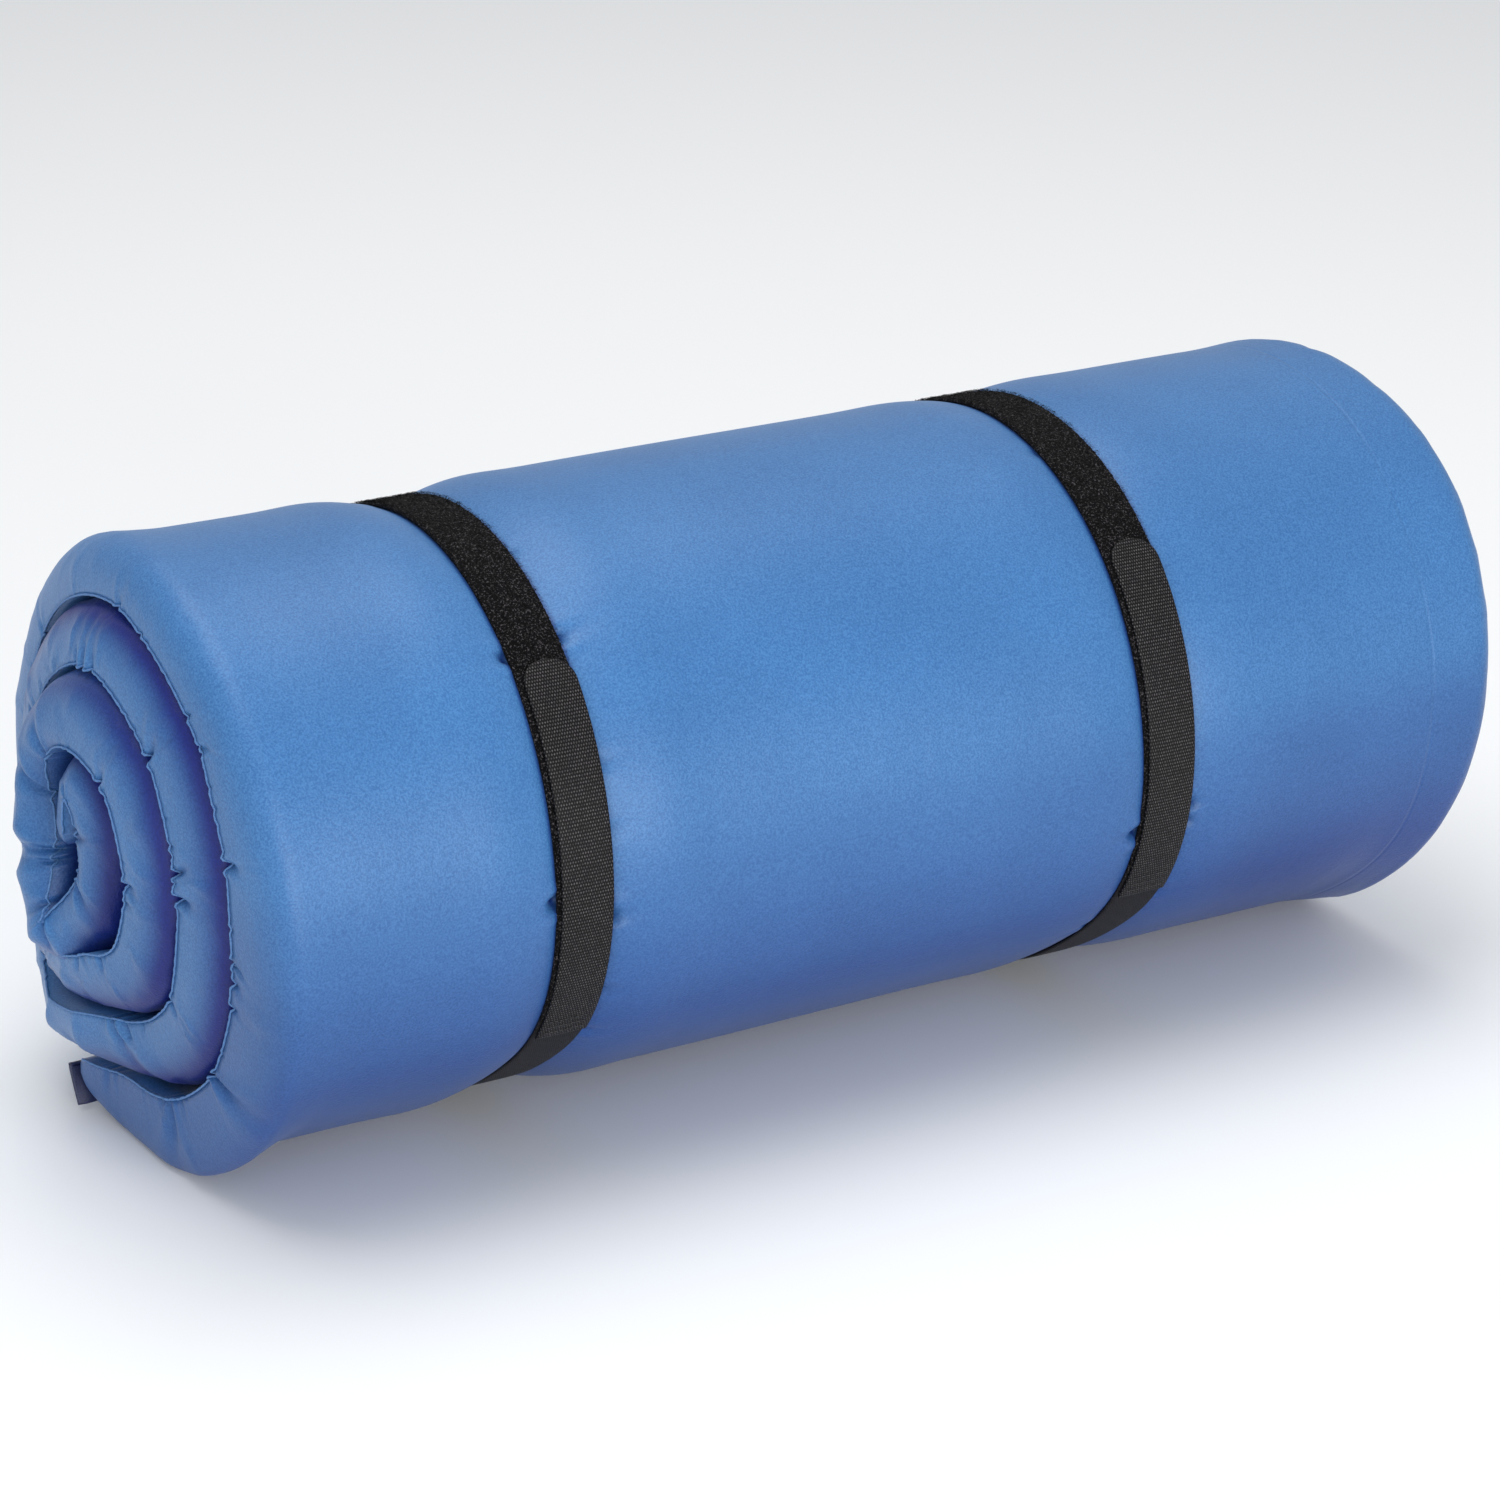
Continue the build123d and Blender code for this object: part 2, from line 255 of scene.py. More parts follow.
def strap_dents(x, angle):
    """How deep the straps press into the outer turn."""
    depth = np.zeros(np.broadcast(x, angle).shape)
    for side, middle in STRAP_X.items():
        sink = BED[side] + 0.1
        away = np.abs(x - middle) - STRAP_WIDTH / 2
        well = np.where(away < 0, 1.0, np.exp(-(np.maximum(away, 0) / (5.0 + 1.2 * sink)) ** 0.95))
        depth += sink * well - 0.55 * sink * 0.35 * bump(away - 26, 16)
        for at, edge, size in PINCHES[side]:
            out = np.maximum(edge * (x - middle) - STRAP_WIDTH / 2, -3)
            arc = np.radians(angle - at) * OUTER_RADIUS
            past = np.maximum(out, 0)
            pit = bump(arc, 2.6) * bump(out - 0.5, 3.2)
            tail = 0.5 * bump(arc - 0.12 * edge * out, 2.0 + 0.08 * past) * np.exp(-past / 9)
            ridge = 0.3 * bump(np.abs(arc) - 6.5, 3.0) * bump(out - 3, 6)
            depth += size * np.where(edge * (x - middle) > 0, pit + tail - ridge, 0)
    return depth


def pinch_shade(x, angle):
    """Painted shade: where the fabric is darkened at the pinches and along the edges of the straps.
    """
    shade = np.zeros(np.broadcast(x, angle).shape)
    for side, middle in STRAP_X.items():
        away = np.abs(x - middle) - STRAP_WIDTH / 2
        shade = np.maximum(shade, 0.75 * bump(away - 0.2, 1.3))
        for at, edge, size in PINCHES[side]:
            out = edge * (x - middle) - STRAP_WIDTH / 2
            arc = np.radians(angle - at) * OUTER_RADIUS
            pit = bump(arc, 2.2) * bump(out - 0.6, 2.6)
            pit = pit + 0.45 * bump(arc - 0.12 * out, 1.3) * np.exp(-np.abs(out) / 5) * (out > 0)
            shade = np.maximum(shade, min(1.0, 0.3 * size) * np.clip(pit, 0, 1))
    return shade


def loops(samples):
    """Unwrapped angle, outer and inner points of the section at distances along the pad."""
    angle = np.interp(samples, RIB_S, RIB_ANGLE)
    outer = cubic(RIB_S, RIB_OUT, samples)
    inner = cubic(RIB_S, RIB_IN, samples)
    return angle, outer, inner


END_STEPS = 22  # columns over one end, from the outer face to the seam

# Fine gathers of each end: place along the pad, depth, reach over the face and slant
WRINKLES = 330
WRINKLE_S = {side: np.cumsum(rng.gamma(2.2, 3.6, WRINKLES)) for side in ("left", "right")}
WRINKLE_DEPTH = {side: rng.gamma(1.6, 0.20, WRINKLES) for side in WRINKLE_S}
WRINKLE_REACH = {side: rng.uniform(3, 13, WRINKLES) for side in WRINKLE_S}
WRINKLE_SLANT = {side: rng.normal(0, 0.35, WRINKLES) for side in WRINKLE_S}


def hair_creases(side, s, r):
    """Fine gathers of the seam, each a narrow groove that fades over the face."""
    depth = np.zeros(np.broadcast(s, r).shape)
    near = np.clip(np.searchsorted(WRINKLE_S[side], s), 1, WRINKLES - 2)
    for step in (-2, -1, 0, 1):
        k = np.clip(near + step, 0, WRINKLES - 1)
        x = s - WRINKLE_S[side][k] - WRINKLE_SLANT[side][k] * r
        groove = bump(x, 1.1 + 0.05 * r) - 0.4 * bump(np.abs(x) - 2.4, 1.3)
        depth += WRINKLE_DEPTH[side][k] * groove * np.exp(-(r / WRINKLE_REACH[side][k]) ** 1.5)
    return depth


def end_profile(side, samples, angle, outer, inner):
    """Columns of x and depth from the outer face, over one end from outer face to seam."""
    thickness = np.linalg.norm(inner - outer, axis=1)
    back_top = bump(np.mod(angle, 360) - 128, 30) * (angle > 380) * (angle < 640)
    flat = 0.5 + 0.5 * smooth(angle, 268, 312)
    reach = 17 * flat + 2.0 * smooth(angle, 300, 700) + (7 if side == "left" else 6) * back_top
    hollow = 13 * bump(angle - 1252, 50) + 5 * bump(angle - 1390, 40)
    x_end = edge_x(side, angle)
    sign = 1 if side == "left" else -1
    columns = []
    bulge = pillow(side, samples)
    p = 2 / 2.25  # the rounding is a superellipse of this exponent
    for k in range(END_STEPS + 1):
        u = k / END_STEPS
        alpha = u * math.pi / 2
        inboard = reach * (1 - math.sin(alpha) ** p) if k else reach
        depth = (1 - math.cos(alpha) ** p) if k < END_STEPS else 1.0
        rim = np.maximum(0, thickness * (1 - depth))
        crease = puckers(side, samples, rim) + hair_creases(side, samples, rim)
        swell = 0.45 * bulge * math.exp(-((1 - depth) / 0.6) ** 2)
        lift = 0.4 * bulge * u ** 3
        tuck = hollow * max(0.0, (depth - 0.45) / 0.55) ** 2
        x_here = x_end + sign * (inboard + crease - swell + tuck)
        pulled = slim(x_here, angle) * (1 - u) ** 1.5
        columns.append((x_here, thickness * depth + lift - 0.35 * crease * u + pulled))
    return columns


SIM_SCALE = 20.0  # the fabric is simulated enlarged, as cloth settings suit furniture sizes
SIM_FRAMES = 18
SIM_GROWTH = 0.06  # how much longer the fabric is than the seam that gathers it
WRINKLE_LIMIT = 2.0 * MM
DRIFT_ROWS = 33  # a move that is even over this many rows is swelling, not a wrinkle


def gather_fabric(grid, turns, band, seam):
    """Cloth simulation of one end of the cover: the fabric is a little longer than its seam and
    inflated by the foam, so it buckles into gathers.  Only the wrinkles are kept, not the
    overall swelling.  Changes grid in place."""
    rows, cols = len(grid), len(band)
    start = grid[:, band].copy()
    i, j = np.meshgrid(np.arange(rows - 1), np.arange(cols - 1), indexing="ij")
    a = i * cols + j
    faces = np.stack([a + cols, a + cols + 1, a + 1, a], -1).reshape(-1, 4)
    mesh = bpy.data.meshes.new("gathering")
    mesh.from_pydata((start.reshape(-1, 3) * SIM_SCALE).tolist(), [], faces.tolist())
    obj = bpy.data.objects.new("gathering", mesh)
    bpy.context.scene.collection.objects.link(obj)
    hold = obj.vertex_groups.new(name="hold")
    grow = obj.vertex_groups.new(name="grow")
    at_seam = int(np.where(band == seam)[0][0])
    for c in range(cols):
        near_border = min(c, cols - 1 - c)
        weight = max(1 - near_border / 4, 0.85 * math.exp(-((c - at_seam) / 1.3) ** 2))
        indices = [r * cols + c for r in range(rows)]
        if weight > 0.01:
            hold.add(indices, min(1.0, weight), "REPLACE")
        grow.add(indices, max(0.0, 1 - weight), "REPLACE")
    tips = [r * cols + c for r in (0, 1, 2, rows - 3, rows - 2, rows - 1) for c in range(cols)]
    hold.add(tips, 1.0, "REPLACE")
    cloth = obj.modifiers.new("fabric", "CLOTH")
    fabric = cloth.settings
    fabric.quality = 5
    fabric.mass = 0.2
    fabric.tension_stiffness = 18
    fabric.compression_stiffness = 18
    fabric.shear_stiffness = 6
    fabric.bending_stiffness = 0.12
    fabric.tension_damping = fabric.compression_damping = 8
    fabric.vertex_group_mass = "hold"
    fabric.vertex_group_shrink = "grow"
    fabric.shrink_min = 0.0
    fabric.shrink_max = -SIM_GROWTH
    fabric.use_pressure = True
    fabric.uniform_pressure_force = 0.4
    fabric.effector_weights.gravity = 0
    cloth.collision_settings.use_collision = False
    cloth.point_cache.frame_start = 1
    cloth.point_cache.frame_end = SIM_FRAMES
    scene_now = bpy.context.scene
    for step in range(1, SIM_FRAMES + 1):
        scene_now.frame_set(step)
    solved = obj.evaluated_get(bpy.context.evaluated_depsgraph_get())
    flat = np.zeros(rows * cols * 3)
    solved.data.vertices.foreach_get("co", flat)
    move = flat.reshape(rows, cols, 3) / SIM_SCALE - start
    scene_now.frame_set(1)
    bpy.data.objects.remove(obj)
    bpy.data.meshes.remove(mesh)
    window = np.hanning(DRIFT_ROWS)
    window /= window.sum()
    padded = np.pad(move, ((DRIFT_ROWS // 2, DRIFT_ROWS // 2), (0, 0), (0, 0)), mode="edge")
    drift = np.stack([[np.convolve(padded[:, c, k], window, "valid") for k in range(3)]
                      for c in range(cols)]).transpose(2, 0, 1)
    wrinkles = move - drift
    size = np.linalg.norm(wrinkles, axis=2, keepdims=True)
    distance = np.abs(np.arange(cols) - at_seam)
    share = np.interp(distance, [0, 8, END_STEPS, cols], [0.62, 0.5, 0.16, 0.05])[None, :]
    share = share * (0.35 + 0.65 * smooth(turns, 560, 620))[:, None]
    wrinkles *= share[:, :, None]
    size *= share[:, :, None]
    capped = np.tanh(size / WRINKLE_LIMIT) * WRINKLE_LIMIT / np.maximum(size, 1e-9)
    grid[:, band] = start + wrinkles * capped


def build_cover(name, inset=0.0):
    """The whole sewn cover as one closed grid, wound from the outer end to the core, or the
    foam slab inside it if inset is given."""
    samples = along_samples(2.4, 1.1)
    if inset:
        samples = samples[(samples > 9) & (samples < samples[-1] - 9)][::3]
    angle, outer, inner = loops(samples)
    thickness = np.linalg.norm(inner - outer, axis=1)
    inward = (inner - outer) / thickness[:, None]
    across = across_samples()
    lift = smooth(-angle, -LAP - 6, -LAP + 21)

    left = end_profile("left", samples, angle, outer, inner)
    right = end_profile("right", samples, angle, outer, inner)
    start, stop = left[0][0], right[0][0]

    def place(x):
        w_left, w_right = smooth(-x, 150, HALF_FACE), smooth(x, 150, HALF_FACE)
        return x + (start + HALF_FACE) * w_left + (stop - HALF_FACE) * w_right

    columns = []
    for x in across:
        wave = 0.5 * np.sin(x / 47 + samples / 61 + 1.3) + 0.4 * np.sin(x / 83 - samples / 37)
        ease = smooth(HALF_FACE - abs(x), 0, 30)
        depth = (strap_dents(x, angle) * lift - wave * ease * 0.7 * lift) + slim(place(x), angle)
        columns.append((place(x), depth))
    columns += right[1:]
    back = across[::-1][::3] if len(across) % 3 == 1 else np.append(across[::-1][::3], across[0])
    columns += [(place(x), thickness + 0.0 * x) for x in back]
    columns += left[::-1][:-1]
    n_out, n_end, n_in = len(across), len(right) - 1, len(back)

    x = np.stack([c[0] for c in columns], 1)
    depth = np.stack([np.broadcast_to(c[1], samples.shape) for c in columns], 1)

    # The two ends of the pad are rounded off
    total = samples[-1]
    tip = np.minimum(samples, total - samples) if not inset else np.full(len(samples), 99.0)
    squeeze = np.sqrt(np.clip(1 - (1 - np.clip(tip / 13.0, 0.02, 1)) ** 2, 0, 1))[:, None]
    middle = (thickness / 2)[:, None]
    depth = middle + (depth - middle) * np.maximum(squeeze, 0.2)
    narrow = 7 * (1 - squeeze)
    half = np.clip((x - ROLL_X) / 300, -1, 1)
    x = x - narrow * half ** 9
    if inset:
        cover_face = depth
        depth = middle + (depth - middle) * (1 - 2 * inset / thickness[:, None])
        below_dent = np.minimum(cover_face + 4, middle)
        depth = np.where(cover_face < middle, np.maximum(depth, below_dent), depth)
        x = x - inset * np.clip((x - ROLL_X) / 290, -1, 1) ** 5
    yz = outer[:, None, :] + inward[:, None, :] * depth[:, :, None]
    points = np.concatenate([x[:, :, None], yz], 2).reshape(-1, 3) * MM

    rows, cols = x.shape
    if not inset:
        grid = points.reshape(rows, cols, 3)
        first = n_out + n_end + n_in
        gather_fabric(grid, angle, np.arange(n_out - 7, n_out + n_end + 4), n_out + n_end - 1)
        left_band = np.concatenate([np.arange(first - 4, cols), np.arange(0, 7)])
        gather_fabric(grid, angle, left_band, first)
        points = grid.reshape(-1, 3)
    i, j = np.meshgrid(np.arange(rows - 1), np.arange(cols), indexing="ij")
    jn = (j + 1) % cols
    quads = np.stack([i * cols + j, i * cols + jn, (i + 1) * cols + jn, (i + 1) * cols + j], -1)
    faces = quads.reshape(-1, 4)[:, ::-1].tolist()

    for row, flip in ((0, False), (rows - 1, True)):
        base = row * cols
        ring = [base + c for c in range(cols)]
        out_cols = ring[:n_out]
        right_cols = ring[n_out:n_out + n_end]
        in_cols = ring[n_out + n_end:n_out + n_end + n_in]
        left_cols = ring[n_out + n_end + n_in:]
        caps = []
        where = list(range(n_out - 1, -1, -3))
        if where[-1] != 0:
            where.append(0)
        for a, b, p, q in zip(where[:-1], where[1:], in_cols[:-1], in_cols[1:]):
            caps.append([out_cols[c] for c in range(b, a + 1)] + [p, q])
        chain = [out_cols[-1]] + right_cols + [in_cols[0]]
        caps += strip_caps(chain)
        chain = [in_cols[-1]] + left_cols + [out_cols[0]]
        caps += strip_caps(chain)
        faces += [c if flip else c[::-1] for c in caps]

    mesh = bpy.data.meshes.new(name)
    mesh.from_pydata(points.tolist(), [], faces)
    obj = bpy.data.objects.new(name, mesh)
    bpy.context.scene.collection.objects.link(obj)
    mesh.shade_smooth()
    mesh.update()

    # Painted shade in the fabric's colour: deep between two turns, under the roll, or where a strap
    # pinches
    shade_paint = np.zeros((rows, cols))
    # Painted shade over the turns that lie under the outer turn, except along their end rims, and
    # less at the fold
    buried = smooth(angle, 590, 640)[:, None]
    left_edge = np.abs(edge_x("left", angle) - ROLL_X)[:, None]
    right_edge = np.abs(edge_x("right", angle) - ROLL_X)[:, None]
    below = np.where(x < ROLL_X, left_edge, right_edge) - np.abs(x - ROLL_X)
    hidden = buried * smooth(below, -1, 8.5) * (1 - 0.8 * bump(angle - 1255, 70)[:, None])
    shade_paint[:, :n_out + n_end] = hidden[:, :n_out + n_end]
    shade_paint[:, n_out + n_end + n_in:] = hidden[:, n_out + n_end + n_in:]
    # Painted shade under the roll and, a little less, on the lower front, most towards the right
    # end
    under = 0.62 * smooth(-angle, -362, -328)[:, None] * (1 - 0.4 * smooth(-below, -10, 0))
    far_end = smooth(x - ROLL_X, 120, 230)
    lower = 0.34 * far_end + 0.22 * (1 - far_end) * smooth(angle, 333, 350)[:, None]
    lower *= smooth(-angle, -376, -358)[:, None]
    shade_paint = np.maximum(shade_paint, 1 - (1 - under) * (1 - lower))
    # Painted shadow at the strap pinches and along the strap edges
    pinched = pinch_shade(x[:, :n_out], angle[:, None]) * lift[:, None]
    shade_paint[:, :n_out] = np.maximum(shade_paint[:, :n_out], pinched)
    # Painted shade on the inner face, darker away from its ends
    inner_cols = slice(n_out + n_end, n_out + n_end + n_in)
    shade_paint[:, inner_cols] = smooth(below, 2, 26)[:, inner_cols]
    layer = mesh.attributes.new("painted_shade", "FLOAT", "POINT")
    layer.data.foreach_set("value", shade_paint.astype(np.float32).ravel())
    grid = points.reshape(rows, cols, 3)
    return obj, grid[:, n_out + n_end + n_in], grid[:, n_out + n_end - 1]


def strip_caps(chain):
    """Faces that close a chain of points by joining its two halves."""
    faces = []
    low, high = 0, len(chain) - 1
    while high - low > 2:
        faces.append([chain[low], chain[low + 1], chain[high - 1], chain[high]])
        low, high = low + 1, high - 1
    if high - low == 2:
        faces.append([chain[low], chain[low + 1], chain[high]])
    return faces


# ------------------------------------------------------------------ straps
GIRTH_ANGLES = np.array([a for a, _, _ in TURNS if a <= 562] + [605], float)
GIRTH_RADII = np.array([r for a, r, _ in TURNS if a <= 562] + [138.0], float)


def girth(angle):
    """Radius of the tightened roll at an angle, bridging the step at the pad's outer end."""
    turn = 245 + np.mod(np.atleast_1d(np.asarray(angle, float)) - 245, 360)
    return cubic(GIRTH_ANGLES, GIRTH_RADII[:, None], turn)[:, 0] - slim(0.0, turn)


def ring_point(angle, radius):
    turn = np.radians(angle)
    return ROLL_Y - radius * np.cos(turn), ROLL_Z + radius * np.sin(turn)


def finish_mesh(name, points, faces, uv=None):
    """A smooth-shaded object from points in metres, linked to the scene."""
    mesh = bpy.data.meshes.new(name)
    mesh.from_pydata(np.asarray(points).tolist(), [], [list(f) for f in faces])
    if uv is not None:
        layer = mesh.uv_layers.new(name="weave")
        index = np.zeros(len(mesh.loops), int)
        mesh.loops.foreach_get("vertex_index", index)
        layer.data.foreach_set("uv", np.asarray(uv, np.float32)[index].ravel())
    mesh.shade_smooth()
    mesh.update()
    obj = bpy.data.objects.new(name, mesh)
    bpy.context.scene.collection.objects.link(obj)
    return obj


def strip_mesh(side, arc, lift, thickness, width=STRAP_WIDTH, step=1.6, across=14, tip=None,
               drift=None, rough=0.0):
    """Points, faces and UV of a strap between two angles, lift above the pad under it.  tip is the
    radius of a rounded end, drift its sideways shift along the way and rough its unevenness."""
    length = math.radians(arc[1] - arc[0]) * STRAP_RADIUS
    rows = max(3, int(length / step))
    t = np.linspace(0, 1, rows)
    angle = arc[0] + (arc[1] - arc[0]) * t
    radius = girth(angle) - BED[side] + lift
    half = np.full(rows, width / 2)
    if tip:
        u = np.clip((1 - t) * length / tip, 0, 1)
        rounding = tip - np.sqrt(np.clip(tip ** 2 - (tip - u * tip) ** 2, 0, None))
        half = half - rounding * (width / 2 / tip) * 0.96
    middle = (STRAP_X[side] + (drift(t) if drift else 0 * t))[:, None]
    lanes = np.linspace(-1, 1, across)
    crown = 0.25 * (1 - lanes ** 4)
    profile = [(lane, thickness - 0.3 + c) for lane, c in zip(lanes, crown)]
    profile += [(1.012, thickness * 0.5)] + [(lane, 0.0) for lane in lanes[::-1]]
    profile += [(-1.012, thickness * 0.5)]
    cols = len(profile)
    x = middle + half[:, None] * np.array([lane for lane, _ in profile])
    up = np.stack([np.full(rows, h) for _, h in profile], 1)
    if rough:
        up[:, :across] += rng.uniform(-rough, rough, (rows, across))
        x[:, [0, across - 1]] += rng.uniform(-rough, rough, (rows, 2)) * 0.7
    y, z = ring_point(angle[:, None], radius[:, None] + up)
    points = np.stack([x, y, z], 2).reshape(-1, 3) * MM
    run = np.broadcast_to((t * length)[:, None], x.shape)
    uv = np.stack([x - middle, run], 2).reshape(-1, 2) * MM
    faces = []
    for i in range(rows - 1):
        for j in range(cols):
            jn = (j + 1) % cols
            faces.append((i * cols + j, (i + 1) * cols + j, (i + 1) * cols + jn, i * cols + jn))
    faces += [tuple(range(cols)), tuple((rows - 1) * cols + j for j in range(cols))[::-1]]
    return points, faces, uv


def pile(side, arc, lift, count):
    """Short curled fibres that stand out of the loop tape, as thin three-sided tubes."""
    angle = rng.uniform(arc[0], arc[1], count)
    edge = rng.random(count) < 0.22
    at_edge = rng.choice([-1, 1], count) * rng.uniform(11.6, 12.6, count)
    lane = np.where(edge, at_edge, rng.uniform(-12.2, 12.2, count))
    radius = girth(angle) - BED[side] + lift
    heading = rng.uniform(0, 2 * math.pi, count)
    outwards = np.where(lane > 0, 0, math.pi) + rng.normal(0, 0.7, count)
    heading = np.where(edge, outwards, heading)
    reach = rng.uniform(0.8, 2.1, count)
    rise = rng.uniform(0.3, 1.0, count)
    rings = []
    for t, share in ((0, 0.0), (0.35, 0.9), (0.7, 1.0), (1.0, 0.45)):
        along = reach * t
        x = STRAP_X[side] + lane + np.cos(heading) * along
        turn = angle + np.degrees(np.sin(heading) * along / STRAP_RADIUS)
        up = radius - 0.15 + rise * share
        rings.append((x, turn, up))
    verts = []
    thick = rng.uniform(0.045, 0.075, count)
    for x, turn, up in rings:
        for k in range(3):
            a = 2 * math.pi * k / 3
            y, z = ring_point(turn, up + thick * math.sin(a))
            verts.append(np.stack([x + thick * math.cos(a), y, z], 1))
    verts = np.stack(verts, 1).reshape(-1, 3) * MM
    faces = []
    for base in range(0, 12 * count, 12):
        for ring in (base, base + 3, base + 6):
            for k in range(3):
                n = (k + 1) % 3
                faces.append((ring + k, ring + n, ring + 3 + n, ring + 3 + k))
        faces.append((base + 2, base + 1, base))
        faces.append((base + 9, base + 10, base + 11))
    return verts, faces, np.zeros((len(verts), 2))


def join_parts(parts):
    """One set of points, faces and UV from several."""
    points, faces, uvs, start = [], [], [], 0
    for p, f, uv in parts:
        points.append(p)
        uvs.append(uv)
        faces += [tuple(v + start for v in face) for face in f]
        start += len(p)
    return np.concatenate(points), faces, np.concatenate(uvs)


def stitches(side, angles, lift, span=19.0, pitch=2.3):
    """Rows of short thread stitches across a strap."""
    parts = []
    for angle in angles:
        count = int(span / pitch)
        for k in range(count):
            x0 = STRAP_X[side] - span / 2 + (k + 0.12) * pitch + rng.uniform(-0.08, 0.08)
            x1 = x0 + pitch * 0.76
            turn = angle + rng.uniform(-0.05, 0.05)
            radius = float(girth(turn)[0]) - BED[side] + lift
            rings = []
            for t in np.linspace(0, 1, 7):
                x = x0 + (x1 - x0) * t
                sag = 0.26 * math.sin(math.pi * t) ** 0.6 - 0.12
                r_tube = 0.24 * (0.5 + 0.5 * math.sin(math.pi * t) ** 0.5)
                ring = []
                for a in np.linspace(0, 2 * math.pi, 7)[:-1]:
                    turn_a = turn + math.degrees(r_tube * math.cos(a) / STRAP_RADIUS)
                    y, z = ring_point(turn_a, radius + sag + r_tube * math.sin(a))
                    ring.append((x, float(y), float(z)))
                rings.append(ring)
            points = np.array(rings).reshape(-1, 3) * MM
            faces = [(i * 6 + j, i * 6 + (j + 1) % 6, (i + 1) * 6 + (j + 1) % 6, (i + 1) * 6 + j)
                     for i in range(6) for j in range(6)]
            faces += [tuple(range(6))[::-1], tuple(36 + j for j in range(6))]
            parts.append((points, faces, np.zeros((len(points), 2))))
    return join_parts(parts)


# ------------------------------------------------------------------ materials
class Shader:
    """A material's node tree, with short calls for the nodes that repeat."""

    def __init__(self, name):
        self.material = bpy.data.materials.new(name)
        self.material.use_nodes = True
        self.nodes = self.material.node_tree.nodes
        self.links = self.material.node_tree.links
        self.bsdf = self.nodes["Principled BSDF"]

    def feed(self, socket, value):
        if isinstance(value, (int, float)):
            socket.default_value = value
        elif isinstance(value, tuple):
            socket.default_value = (*value, 1)
        else:
            self.links.new(value, socket)

    def position(self):
        return self.nodes.new("ShaderNodeTexCoord").outputs["Object"]

    def math(self, operation, a, b=None):
        node = self.nodes.new("ShaderNodeMath")
        node.operation = operation
        self.feed(node.inputs[0], a)
        if b is not None:
            self.feed(node.inputs[1], b)
        return node.outputs[0]

    def add(self, a, b):
        return self.math("ADD", a, b)

    def times(self, a, b):
        return self.math("MULTIPLY", a, b)

    def from_middle(self, value):
        """Distance of a fraction from 0.5."""
        return self.math("ABSOLUTE", self.math("SUBTRACT", self.math("FRACT", value), 0.5))

    def noise(self, vector, scale, detail=2.0, roughness=0.5):
        node = self.nodes.new("ShaderNodeTexNoise")
        self.feed(node.inputs["Scale"], scale)
        self.feed(node.inputs["Detail"], detail)
        self.feed(node.inputs["Roughness"], roughness)
        self.feed(node.inputs["Vector"], vector)
        return node.outputs["Fac"]

    def mix(self, factor, a, b, blend="MIX"):
        node = self.nodes.new("ShaderNodeMix")
        node.data_type = "RGBA"
        node.blend_type = blend
        for name, value in (("Factor", factor), ("A", a), ("B", b)):
            self.feed(node.inputs[name], value)
        return node.outputs["Result"]

    def ramp(self, value, low, high):
        node = self.nodes.new("ShaderNodeMapRange")
        node.interpolation_type = "SMOOTHSTEP"
        self.feed(node.inputs["From Min"], low)
        self.feed(node.inputs["From Max"], high)
        self.feed(node.inputs["Value"], value)
        return node.outputs["Result"]

    def bump(self, height, strength, distance):
        node = self.nodes.new("ShaderNodeBump")
        self.feed(node.inputs["Strength"], strength)
        self.feed(node.inputs["Distance"], distance)
        self.feed(node.inputs["Height"], height)
        self.feed(self.bsdf.inputs["Normal"], node.outputs["Normal"])

    def finish(self, colour, **settings):
        """Sets the colour and the shader's uniform values, and returns the material."""
        self.feed(self.bsdf.inputs["Base Color"], colour)
        for name, value in settings.items():
            self.feed(self.bsdf.inputs[name.replace("_", " ")], value)
        return self.material


DEEP_BLUE = (0.032, 0.130, 0.336)
LIGHT_BLUE = (0.062, 0.200, 0.447)
# Navy tint that the painted shade multiplies the fabric's colour towards
PAINTED_SHADE_TINT = (0.06, 0.07, 0.40)
CREASE_X = 0.2800  # a faint crease round the roll, near its right end


